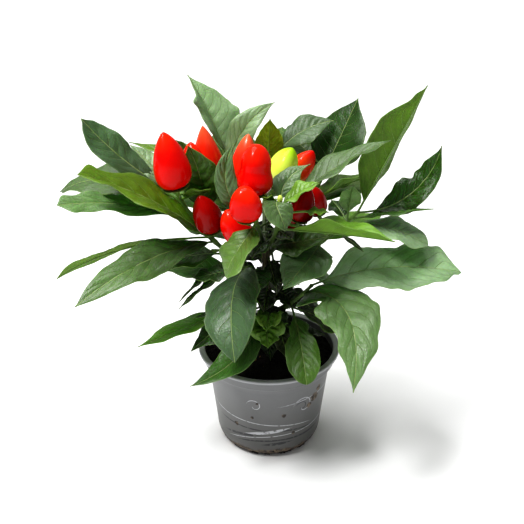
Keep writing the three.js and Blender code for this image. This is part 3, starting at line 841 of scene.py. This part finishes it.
def icosahedron():
    """The corners of an icosahedron and its 20 triangles, facing out."""
    golden = (1 + math.sqrt(5)) / 2
    corners = [Vector(point) for a in (-1, 1) for b in (-golden, golden)
               for point in ((0, a, b), (a, b, 0), (b, 0, a))]
    faces = []
    for a, b, c in itertools.combinations(range(len(corners)), 3):
        p, q, r = corners[a], corners[b], corners[c]
        # Corners that share an edge lie 2 apart.
        if max((p - q).length, (q - r).length, (p - r).length) < 2.02:
            facing = (q - p).cross(r - p).dot(p + q + r) > 0
            faces.append((a, b, c) if facing else (a, c, b))
    return corners, faces


CORNERS, TRIANGLES = icosahedron()


def crumb(centre, size, rng):
    """A small angular lump of compost."""
    stretch = [rng.uniform(0.6, 1.2) for _ in range(3)]
    spin = Matrix.Rotation(rng.uniform(0, math.tau), 3, Vector((rng.random(), rng.random(), 0.3)))
    points = []
    for corner in CORNERS:
        point = corner.normalized() * size * rng.uniform(0.75, 1.2)
        points.append(centre + spin @ Vector(p * s for p, s in zip(point, stretch)))
    return points, TRIANGLES


def compost_piece(material):
    """The compost: a rough mound inside the pot, strewn with crumbs."""
    inset = POT_WALL + GAP
    reach = COLLAR_RADIUS - inset
    rings = 44

    def mound(share):
        return mix(SOIL_CROWN, SOIL_EDGE, share ** 2)

    def wobble(point):
        if point.z < SOIL_EDGE - 1.2:
            return Vector((0, 0, 0))
        inner = smooth(0, 6, reach - math.hypot(point.x, point.y))
        coarse = noise.noise(point * 0.14) * 1.6
        fine = noise.noise(point * 0.5) * 0.9
        return UP * ((coarse + fine) * (0.4 + 0.6 * inner))

    surface = [(reach * (1 - step / rings), mound(1 - step / rings)) for step in range(1, rings)]
    profile = [(0, inset), *wall_profile(inset, SOIL_EDGE - 0.5), *surface, (0, SOIL_CROWN)]
    skin = Skin()
    skin.add(*lathe(profile, 128, wobble), pale=0.0)
    rng = random.Random(12)
    for _ in range(COMPOST_CRUMBS):
        share = math.sqrt(rng.random()) * 0.97
        turn = rng.uniform(0, math.tau)
        size = rng.uniform(0.4, 1.0) ** 2 * 1.9
        centre = Vector((share * reach * math.cos(turn), share * reach * math.sin(turn), 0))
        centre.z = mound(share) + wobble(Vector((centre.x, centre.y, mound(share)))).z + size * 0.3
        skin.add(*crumb(centre, size, rng), pale=1.0 if rng.random() < 0.03 else 0.0)
    skin.piece("compost_bed", material, "compost", ["compost"])


def pot_dirt_piece(material):
    """Dried mud and crumbs that cling to the pot's heel."""
    rng = random.Random(31)
    skin = Skin()
    for _ in range(HEEL_CRUMBS):
        turn = rng.gauss(-90, 60)
        climb = min(abs(rng.gauss(0.25, 0.2)), 0.9)
        if noise.noise(Vector((turn * 0.08, climb * 4, 3))) < climb * 0.6 - 0.1:
            continue
        angle = climb * math.pi / 2
        radius = FOOT_RADIUS + (HEEL_RADIUS - FOOT_RADIUS) * math.sin(angle)
        height = HEEL_HEIGHT * (1 - math.cos(angle))
        size = rng.uniform(0.3, 1.1) * (1.35 - climb)
        centre = direction(turn, 0) * radius + UP * max(height, size * 0.9)
        skin.add(*crumb(centre, max(size, 0.2), rng), pale=0.0)
    skin.piece("pot_dirt", material, "compost")


# ---------- Materials ----------

FLOAT, COLOR = "NodeSocketFloat", "NodeSocketColor"

YELLOWING, UNDERSIDE, VEIN = rgb(124, 140, 30), rgb(94, 126, 24), rgb(170, 194, 122)
# The last of these is the near black of the painted shade on the foot of a blade.
LEAF_STALK, LEAF_FOOT_SHADE = rgb(88, 122, 44), rgb(4, 12, 2)
STEM_GREEN, STEM_WOODY, PETAL = rgb(92, 128, 48), rgb(66, 84, 34), rgb(200, 218, 96)
BARK_CRACK, BARK_RIDGE = rgb(58, 52, 32), rgb(122, 116, 76)
PEAT, PEAT_GRAIN, BARK_BIT = rgb(6, 5, 4), rgb(30, 23, 18), rgb(120, 92, 60)
# Painted highlight: the lip's colour lightens a band round the outer lip.
# Painted shade: the plastic's low colour darkens the pot towards its foot.
PLASTIC_LOW, PLASTIC_HIGH, LIP_PAINTED_HIGHLIGHT = rgb(84, 84, 82), rgb(108, 109, 110), rgb(176, 178, 180)
PRINT_DARK, PRINT_PALE = rgb(30, 31, 36), rgb(200, 202, 206)
MUD_DAMP, MUD_DRY = rgb(44, 34, 28), rgb(124, 108, 88)

# Each kind of pepper: its slot, its coat and the coat's haze, and the colours of its shoulders,
# flesh and tip.
PEPPER_SKINS = {
    RED: ("pepper_red", 0.18, 0.08, (190, 4, 0), (212, 4, 0), (232, 36, 6)),
    # A lighter, pinker copy of the red skin: partly orange-red ripeness, partly a painted sheen on
    # the flesh and tip.
    PAINTED_SHEEN_RED: ("pepper_red", 0.5, 0.22, (214, 16, 4), (240, 40, 14), (248, 96, 56)),
    DARK: ("pepper_dark", 0.18, 0.08, (134, 2, 0), (136, 0, 0), (160, 4, 0)),
    LIME: ("pepper_lime", 0.18, 0.08, (222, 238, 140), (206, 230, 84), (160, 206, 20)),
    TURNING: ("pepper_red", 0.18, 0.08, (200, 190, 20), (222, 60, 16), (212, 4, 0)),
}

# The painted shade that darkens the crowded middle of the plant fades out over these distances
# from the trunk and these heights, in metres.
CORE_SHADE_REACH = (0.008, 0.055)
CORE_SHADE_TOP = (0.185, 0.235)

# The pot's ornament. Strokes and curls are rows of the values that their labels name, with
# angles in radians from the front and the rest in millimetres.
STROKE_LABELS = ("Level", "Slope", "Swing", "Turns", "Phase", "Start", "End", "Width")
PALE_STROKES = [
    (36, -9, 3.0, 1.6, 0.4, -1.3, 0.9, 0.45),
    (22, 7, 2.5, 2.2, 2.0, -0.9, 1.5, 0.4),
    (52, 4, 4.0, 1.4, 1.0, 0.1, 2.0, 0.35),
    (28, 6, 1.5, 2.0, 1.0, -0.5, 0.45, 1.9),
]
DARK_STROKES = [
    (30, -8, 3.2, 1.6, 0.2, -1.1, 1.1, 0.8),
    (18, 5, 2.0, 2.4, 2.2, -0.7, 1.3, 1.0),
    (14, 3, 1.6, 2.0, 1.2, -0.2, 0.5, 1.8),
    (25, 6, 1.5, 2.2, 2.4, -1.0, -0.1, 1.6),
]
CURL_LABELS = ("Centre", "Level", "Reach", "Growth", "Width")
PALE_CURLS = [(0.62, 52, 2.0, 1.4, 0.5), (-0.25, 57, 1.5, 0.9, 0.4)]
DARK_CURLS = [(0.58, 52, 0.8, 0.9, 0.55)]

# Splashes of dirt on the pot: angle, height and reach.
SPLASHES = [(0.25, 46.5, 4.2), (0.86, 56, 10), (0.74, 50, 6), (0.95, 63, 6), (-0.3, 44, 3.2),
            (-0.62, 33, 5), (0.45, 26, 4), (-0.2, 60, 3)]

# The radius halfway up the pot's side, which turns an angle there into millimetres.
SIDE_RADIUS = 49.0
# What lies further out than this belongs to the outer skin of the pot's side: a radius up to the
# top of the heel, and how fast it grows above. The painted highlight on the lip's band starts at
# its own radius and brightens over its heights. Radii in metres, heights in millimetres.
SKIN_RADIUS, SKIN_SLOPE = 0.0436, 0.12
BAND_RADIUS, BAND_HEIGHTS = 0.0545, (85.2, 86.2)


class Nodes:
    """A short hand for building one node tree."""

    def __init__(self, tree):
        self.tree = tree

    def add(self, kind, inputs=None, **settings):
        node = self.tree.nodes.new(kind)
        for name, value in settings.items():
            setattr(node, name, value)
        for name, value in (inputs or {}).items():
            self.put(node.inputs[name], value)
        return node

    def put(self, socket, value):
        if isinstance(value, bpy.types.NodeSocket):
            self.tree.links.new(value, socket)
        else:
            socket.default_value = value

    def feed(self, node, **values):
        """Feeds inputs of a node by name, with an underscore for each space in a name."""
        for name, value in values.items():
            self.put(node.inputs[name.replace("_", " ")], value)
        return node

    def math(self, operation, a, b=0.0, clamp=False):
        node = self.add("ShaderNodeMath", operation=operation, use_clamp=clamp)
        self.put(node.inputs[0], a)
        self.put(node.inputs[1], b)
        return node.outputs[0]

    def plus(self, a, b):
        return self.math("ADD", a, b)

    def minus(self, a, b):
        return self.math("SUBTRACT", a, b)

    def times(self, a, b, *more):
        product = self.math("MULTIPLY", a, b)
        for factor in more:
            product = self.math("MULTIPLY", product, factor)
        return product

    def most(self, a, b):
        return self.math("MAXIMUM", a, b)

    def inverse(self, share):
        return self.minus(1.0, share)

    def span(self, a, b):
        """The length of a line that runs a one way and b across it."""
        return self.math("SQRT", self.plus(self.times(a, a), self.times(b, b)))

    def blend(self, share, a, b, kind="MIX"):
        node = self.add("ShaderNodeMix", data_type="RGBA", blend_type=kind)
        return self.feed(node, Factor=share, A=a, B=b).outputs["Result"]

    def dimmed(self, colour, shade):
        gray = self.add("ShaderNodeCombineColor", {"Red": shade, "Green": shade, "Blue": shade})
        return self.blend(1.0, colour, gray.outputs[0], "MULTIPLY")

    def value(self, name):
        return self.add("ShaderNodeAttribute", attribute_name=name).outputs["Fac"]

    def place(self):
        return self.add("ShaderNodeTexCoord").outputs["Object"]

    def split(self, place):
        return self.add("ShaderNodeSeparateXYZ", {"Vector": place}).outputs

    def ramp(self, low, high, value):
        """Rises smoothly from 0 to 1 as the value goes from low to high."""
        node = self.add("ShaderNodeMapRange", interpolation_type="SMOOTHSTEP")
        for socket, part in zip(node.inputs, (value, low, high, 0.0, 1.0)):
            self.put(socket, part)
        return node.outputs["Result"]

    def noise(self, place, scale, detail=3.0, roughness=0.55):
        inputs = {"Vector": place, "Scale": scale, "Detail": detail, "Roughness": roughness}
        return self.add("ShaderNodeTexNoise", inputs).outputs["Fac"]

    def bump(self, height, distance, strength):
        inputs = {"Height": height, "Distance": distance, "Strength": strength}
        return self.add("ShaderNodeBump", inputs).outputs["Normal"]

    def group(self, tree, **inputs):
        """Places a node group and returns its outputs."""
        return self.feed(self.add("ShaderNodeGroup", node_tree=tree), **inputs).outputs


def new_group(name, inputs, outputs):
    """An empty node group. Returns it, its nodes, the values it is given and its result node."""
    tree = bpy.data.node_groups.new(name, "ShaderNodeTree")
    for label, kind in inputs.items():
        tree.interface.new_socket(label, in_out="INPUT", socket_type=kind)
    for label, kind in outputs.items():
        tree.interface.new_socket(label, in_out="OUTPUT", socket_type=kind)
    n = Nodes(tree)
    return tree, n, n.add("NodeGroupInput").outputs, n.add("NodeGroupOutput")


def mottle_group():
    """Mottle: uneven lightness at two scales, for anything grown or weathered."""
    tree, n, given, result = new_group(
        "Mottle", {"Colour": COLOR, "Scale": FLOAT, "Depth": FLOAT},
        {"Colour": COLOR, "Mask": FLOAT})
    place = n.place()
    broad = n.noise(place, given["Scale"], 4)
    fine = n.noise(place, n.times(given["Scale"], 6), 3)
    mask = n.plus(n.times(broad, 0.7), n.times(fine, 0.3))
    shade = n.plus(1.0, n.times(n.minus(mask, 0.5), given["Depth"]))
    n.feed(result, Colour=n.dimmed(given["Colour"], shade), Mask=mask)
    return tree


def painted_shade_group():
    """Painted core shade: darkens a colour towards the crowded middle of the plant, round its trunk,
    where shade falls.
    """
    tree, n, given, result = new_group(
        "Painted core shade", {"Colour": COLOR, "Depth": FLOAT}, {"Colour": COLOR})
    x, y, z = n.split(n.place())
    inside = n.inverse(n.most(n.ramp(*CORE_SHADE_REACH, n.span(x, y)), n.ramp(*CORE_SHADE_TOP, z)))
    shade = n.inverse(n.times(inside, given["Depth"]))
    n.feed(result, Colour=n.dimmed(given["Colour"], shade))
    return tree


def vein_group():
    """Leaf veins: masks of the rib and of the side veins and margin, and the height of the skin."""
    tree, n, given, result = new_group(
        "Leaf veins", {"Along": FLOAT, "Across": FLOAT, "Reach": FLOAT},
        {"Rib": FLOAT, "Veins": FLOAT, "Height": FLOAT})
    along, across, reach = (given[label] for label in ("Along", "Across", "Reach"))
    place = n.place()
    away = n.math("ABSOLUTE", across)
    other_half = n.times(n.math("GREATER_THAN", across, 0.0), 0.5)
    slant = n.plus(n.times(away, VEIN_SLANT), n.times(n.math("POWER", away, 3.0), VEIN_CURVE))
    stray = n.times(n.minus(n.noise(place, 60.0), 0.5), 0.3)
    turn = n.plus(n.times(n.minus(along, slant), VEIN_PAIRS), other_half)
    turn = n.plus(turn, n.times(stray, away))
    between = n.math("ABSOLUTE", n.minus(n.math("FRACT", n.plus(turn, 0.5)), 0.5))
    width = n.minus(0.05, n.times(away, 0.03))
    veins = n.times(n.inverse(n.ramp(0.0, width, between)), n.inverse(n.ramp(0.75, 1.0, away)))
    rib_width = n.minus(0.9, n.times(along, 0.55))
    rib = n.inverse(n.ramp(n.times(rib_width, 0.4), rib_width, reach))
    cells = n.add("ShaderNodeTexVoronoi", {"Vector": place, "Scale": 420.0},
                  feature="DISTANCE_TO_EDGE")
    net = n.ramp(0.0, 0.25, cells.outputs["Distance"])
    height = n.plus(n.times(net, 0.15), n.times(n.noise(place, 180.0, 3), 0.4))
    height = n.minus(n.minus(height, n.times(veins, 0.9)), rib)
    margin = n.times(n.ramp(0.93, 1.0, away), 0.5)
    n.feed(result, Rib=rib, Veins=n.most(veins, margin), Height=height)
    return tree


def mask_group(name, labels):
    """An empty group for a mark on the pot. Returns it, its nodes, its result and its values."""
    labels = ("Angle", "Height", *labels)
    tree, n, given, result = new_group(name, {label: FLOAT for label in labels}, {"Mask": FLOAT})
    return tree, n, result, [given[label] for label in labels]


def stroke_group():
    """Brush stroke: the mask of a waving line round the pot, which tapers at its two ends."""
    tree, n, result, parts = mask_group("Brush stroke", STROKE_LABELS)
    angle, height, level, slope, swing, turns, phase, start, end, width = parts
    wave = n.math("SINE", n.plus(n.times(angle, turns), phase))
    line = n.plus(n.plus(level, n.times(angle, slope)), n.times(wave, swing))
    away = n.math("ABSOLUTE", n.minus(height, line))
    begin = n.ramp(start, n.plus(start, 0.3), angle)
    finish = n.inverse(n.ramp(n.minus(end, 0.3), end, angle))
    wide = n.times(width, n.times(begin, finish))
    mask = n.inverse(n.ramp(n.times(wide, 0.6), n.plus(wide, 0.01), away))
    inside = n.times(n.math("GREATER_THAN", angle, start), n.math("LESS_THAN", angle, end))
    n.feed(result, Mask=n.times(mask, inside))
    return tree


def curl_group():
    """Curl: the mask of one turn of a spiral line about a point on the pot's side."""
    tree, n, result, parts = mask_group("Curl", CURL_LABELS)
    angle, height, centre, level, reach, growth, width = parts
    x = n.times(n.minus(angle, centre), SIDE_RADIUS)
    y = n.minus(height, level)
    far = n.span(x, y)
    turn = n.plus(n.math("ARCTAN2", y, x), math.pi)
    line = n.plus(reach, n.times(turn, growth))
    away = n.math("ABSOLUTE", n.minus(far, line))
    wide = n.times(width, n.ramp(0.0, 1.5, turn), n.inverse(n.ramp(5.2, 6.2, turn)))
    n.feed(result, Mask=n.inverse(n.ramp(n.times(wide, 0.6), n.plus(wide, 0.01), away)))
    return tree


def masks(n, tree, rows, labels, angle, height):
    """The joined mask of several strokes or curls."""
    total = 0.0
    for row in rows:
        drawn = n.group(tree, Angle=angle, Height=height, **dict(zip(labels, row)))
        total = n.most(total, drawn["Mask"])
    return total


def new_material(name, **sockets):
    """A material with one Principled shader. Returns its nodes, the shader and the material."""
    material = bpy.data.materials.new(name)
    material.use_nodes = True
    n = Nodes(material.node_tree)
    return n, n.feed(n.tree.nodes["Principled BSDF"], **sockets), material


def leaf_material(mottle, core_shade, veins):
    """Leaf skin: green by tone, pale along its veins, yellower beneath, with painted shade deep in
    the plant and over the foot of each blade.
    """
    n, shader, material = new_material(
        "pepper_leaf", Specular_IOR_Level=0.42, Subsurface_Weight=0.2, Subsurface_Scale=0.002,
        Subsurface_Radius=(0.5, 1.0, 0.15))
    under, stalk, chance = (n.value(name) for name in ("under", "stalk", "chance"))
    off_stalk = n.inverse(stalk)
    pattern = n.group(veins, **{name: n.value(name.lower()) for name in ("Along", "Across", "Reach")})
    colour = n.add("ShaderNodeAttribute", attribute_name="tone").outputs["Color"]
    yellow = n.math("MULTIPLY", n.minus(chance, 0.4), 0.2, clamp=True)
    colour = n.blend(yellow, colour, YELLOWING)
    colour = n.blend(under, colour, n.blend(0.5, colour, UNDERSIDE))
    bumps = n.group(mottle, Colour=colour, Scale=70.0, Depth=1.2)
    colour = bumps["Colour"]
    marked = n.most(n.times(pattern["Veins"], 0.6), n.times(pattern["Rib"], 0.95))
    colour = n.blend(n.times(marked, off_stalk), colour, n.blend(0.6, colour, VEIN))
    colour = n.blend(n.times(stalk, 0.8), colour, LEAF_STALK)
    # Painted shade: darker towards the crowded middle of the plant.
    colour = n.group(core_shade, Colour=colour, Depth=0.55)["Colour"]
    dull = n.plus(0.3, n.times(bumps["Mask"], 0.2))
    facing = n.inverse(n.times(under, 1.7))
    # The base colour takes painted shade, near black, over the foot of each blade.
    n.feed(shader,
           Base_Color=n.blend(n.times(n.value("dusk"), 0.8), colour, LEAF_FOOT_SHADE),
           Roughness=n.plus(dull, n.times(under, 0.2)),
           Normal=n.bump(n.times(pattern["Height"], off_stalk, facing), 0.0006, 1.0))
    return material


def stem_material(mottle, core_shade):
    """Green stem that turns woody towards its foot, and the pale petals of the bud."""
    n, shader, material = new_material("pepper_stem", Specular_IOR_Level=0.4)
    colour = n.blend(n.value("woody"), STEM_GREEN, STEM_WOODY)
    colour = n.blend(n.value("petal"), colour, PETAL)
    bumps = n.group(mottle, Colour=colour, Scale=160.0, Depth=0.8)
    # Painted shade darkens the stems towards the crowded middle of the plant.
    n.feed(shader,
           Base_Color=n.group(core_shade, Colour=bumps["Colour"], Depth=0.6)["Colour"],
           Roughness=n.plus(0.4, n.times(bumps["Mask"], 0.25)),
           Normal=n.bump(n.noise(n.place(), 700.0), 0.0003, 0.5))
    return material


def bark_material(mottle, core_shade):
    """Trunk bark: green-brown with fine lengthwise cracks between paler ridges."""
    n, shader, material = new_material("trunk_bark", Specular_IOR_Level=0.3)
    tall = n.add("ShaderNodeMapping", {"Vector": n.place(), "Scale": (1.0, 1.0, 0.18)}).outputs[0]
    cracks = n.noise(tall, 900.0, 5, 0.65)
    colour = n.blend(n.ramp(0.42, 0.6, cracks), BARK_CRACK, BARK_RIDGE)
    bumps = n.group(mottle, Colour=colour, Scale=120.0, Depth=1.0)
    # Painted shade darkens the bark towards the crowded middle of the plant.
    n.feed(shader,
           Base_Color=n.group(core_shade, Colour=bumps["Colour"], Depth=0.5)["Colour"],
           Roughness=n.plus(0.6, n.times(cracks, 0.3)),
           Normal=n.bump(cracks, 0.0006, 0.8))
    return material


def pepper_material(kind, mottle):
    """Waxy pepper skin, coloured from its shoulders to its tip."""
    _, coat, haze, *colours = PEPPER_SKINS[kind]
    shoulder, flesh, tip = (rgb(*colour) for colour in colours)
    n, shader, material = new_material(
        f"{kind}_pepper", Specular_IOR_Level=0.06, Coat_Weight=coat, Coat_Roughness=haze)
    place = n.place()
    uneven = n.plus(n.value("ripe"), n.times(n.minus(n.noise(place, 60.0), 0.5), 0.35))
    colour = n.blend(n.ramp(0.0, 0.45, uneven), shoulder, flesh)
    colour = n.blend(n.ramp(0.6, 1.0, uneven), colour, tip)
    bumps = n.group(mottle, Colour=colour, Scale=45.0, Depth=0.35)
    n.feed(shader,
           Base_Color=bumps["Colour"],
           Roughness=n.plus(0.2, n.times(bumps["Mask"], 0.12)),
           Normal=n.bump(n.noise(place, 260.0, 2), 0.0003, 0.3))
    return material


def compost_material(mottle):
    """Damp dark peat with a few paler bits of bark."""
    n, shader, material = new_material("damp_compost", Specular_IOR_Level=0.25)
    grain = n.noise(n.place(), 800.0, 5, 0.7)
    colour = n.blend(n.value("pale"), n.blend(grain, PEAT, PEAT_GRAIN), BARK_BIT)
    n.feed(shader,
           Base_Color=n.group(mottle, Colour=colour, Scale=90.0, Depth=1.0)["Colour"],
           Roughness=n.plus(0.75, n.times(grain, 0.2)),
           Normal=n.bump(grain, 0.001, 1.0))
    return material


def pot_material(mottle):
    """Grey moulded plastic with a thin swirl ornament worn in patches, and mud about the heel, with
    painted shade darker towards the bottom and a painted highlight round the lip.
    """
    n, shader, material = new_material("grey_pot_plastic", Specular_IOR_Level=0.5)
    place = n.place()
    x, y, z = n.split(place)
    angle = n.math("ARCTAN2", x, n.times(y, -1.0))
    height = n.times(z, 1 / MM)
    radius = n.span(x, y)
    climb = n.most(n.minus(z, HEEL_HEIGHT * MM), 0.0)
    outside = n.math("GREATER_THAN", radius, n.plus(SKIN_RADIUS, n.times(climb, SKIN_SLOPE)))

    stroke, curl = stroke_group(), curl_group()
    pale, dark = (n.most(masks(n, stroke, strokes, STROKE_LABELS, angle, height),
                         masks(n, curl, curls, CURL_LABELS, angle, height))
                  for strokes, curls in ((PALE_STROKES, PALE_CURLS), (DARK_STROKES, DARK_CURLS)))
    # Painted shade: the plastic darker towards the bottom and lighter towards the top.
    colour = n.blend(n.ramp(10.0, 80.0, height), PLASTIC_LOW, PLASTIC_HIGH)
    printed = n.times(outside, n.ramp(0.3, 0.5, n.noise(place, 350.0, 4)))
    colour = n.blend(n.times(dark, printed, 0.9), colour, PRINT_DARK)
    colour = n.blend(n.times(pale, printed, 0.75), colour, PRINT_PALE)

    heel = n.inverse(n.ramp(1.0, HEEL_HEIGHT, height))
    mud = n.ramp(0.56, 0.68, n.plus(n.times(n.noise(place, 90.0, 5, 0.65), 0.7), n.times(heel, 0.54)))
    speckle = n.times(n.noise(place, 420.0, 3), 0.75)
    for middle, level, reach in SPLASHES:
        away = n.span(n.times(n.minus(angle, middle), SIDE_RADIUS), n.minus(height, level))
        near = n.inverse(n.ramp(0.0, reach, away))
        patch = n.ramp(0.68, 0.84, n.plus(n.times(near, 0.65), speckle))
        mud = n.most(mud, n.times(patch, outside))
    dirt = n.blend(n.ramp(0.4, 0.62, n.noise(place, 260.0, 3)), MUD_DAMP, MUD_DRY)
    colour = n.blend(n.times(mud, 0.88), colour, dirt)

    # Painted highlight: a lighter band round the outer lip.
    lip = n.times(n.ramp(*BAND_HEIGHTS, height), n.math("GREATER_THAN", radius, BAND_RADIUS))
    colour = n.blend(n.times(lip, 0.8), colour, LIP_PAINTED_HIGHLIGHT)
    film = n.group(mottle, Colour=colour, Scale=30.0, Depth=0.35)
    dull = n.plus(0.34, n.times(film["Mask"], 0.12))
    grain = n.plus(n.times(n.noise(place, 1500.0, 2), 0.15), n.times(mud, 0.5))
    n.feed(shader,
           Base_Color=film["Colour"],
           Roughness=n.plus(dull, n.times(mud, 0.35)),
           Normal=n.bump(grain, 0.0004, 0.5))
    return material


# ---------- Stage ----------

FLOOR_HALF = 6000
PLANT_MIDDLE = Vector((0, 0, 0.18))
EYE_DISTANCE = 700
EYE_RISE = 26
EYE_TARGET = Vector((-6, 0, 165))
LENS = 59.1
SENSOR = 36
# How bright the studio's walls are as light on the plant, and as the eye sees them.
WALL_LIGHT = 0.27
WALL_SEEN = 1.0


def set_floor():
    half = FLOOR_HALF
    corners = [(-half, -half, 0), (half, -half, 0), (half, half, 0), (-half, half, 0)]
    mesh = new_mesh("floor", corners, [(0, 1, 2, 3)])
    _, _, material = new_material(
        "pale_floor", Base_Color=(0.93, 0.93, 0.93, 1), Roughness=0.9, Specular_IOR_Level=0.1)
    mesh.materials.append(material)
    new_object("floor", mesh)


def set_lights():
    """Soft light from above and all round, and a small brighter window."""
    world = bpy.data.worlds.new("soft_studio")
    world.use_nodes = True
    n = Nodes(world.node_tree)
    seen = n.add("ShaderNodeLightPath").outputs["Is Camera Ray"]
    n.feed(n.tree.nodes["Background"], Color=(1.0, 1.0, 1.0, 1),
           Strength=n.plus(WALL_LIGHT, n.times(seen, WALL_SEEN - WALL_LIGHT)))
    bpy.context.scene.world = world

    sky = bpy.data.lights.new("overhead", "SUN")
    sky.energy = 2.6
    sky.angle = math.radians(50)
    new_object("overhead", sky).rotation_euler = (math.radians(-12), math.radians(-14), 0)

    window = bpy.data.lights.new("window", "AREA")
    window.size = 0.25
    window.energy = 10
    lamp = new_object("window", window)
    lamp.location = (-0.5, -0.35, 1.1)
    lamp.rotation_euler = (PLANT_MIDDLE - lamp.location).to_track_quat("-Z", "Y").to_euler()


def set_camera():
    data = bpy.data.cameras.new("camera")
    data.sensor_width = SENSOR
    data.lens = LENS
    camera = new_object("camera", data)
    camera.location = (EYE_TARGET - direction(90, -EYE_RISE) * EYE_DISTANCE) * MM
    camera.rotation_euler = (math.radians(90 - EYE_RISE), 0, 0)
    bpy.context.scene.camera = camera


def build():
    view = bpy.context.scene.view_settings
    view.view_transform = "Standard"
    view.look = "Medium High Contrast"
    mottle, core_shade = mottle_group(), painted_shade_group()
    materials = {
        "leaf": leaf_material(mottle, core_shade, vein_group()),
        "stem": stem_material(mottle, core_shade),
        **{kind: pepper_material(kind, mottle) for kind in PEPPER_SKINS},
    }
    set_floor()
    set_lights()
    set_camera()
    pot_piece(pot_material(mottle))
    soil = compost_material(mottle)
    compost_piece(soil)
    pot_dirt_piece(soil)
    trunk_piece(bark_material(mottle, core_shade))
    inner_leaves(materials["leaf"])
    loose_leaves(materials["leaf"])
    for order, (name, shoot) in enumerate(SHOOTS.items()):
        shoot_pieces(name, shoot, order, materials)


build()
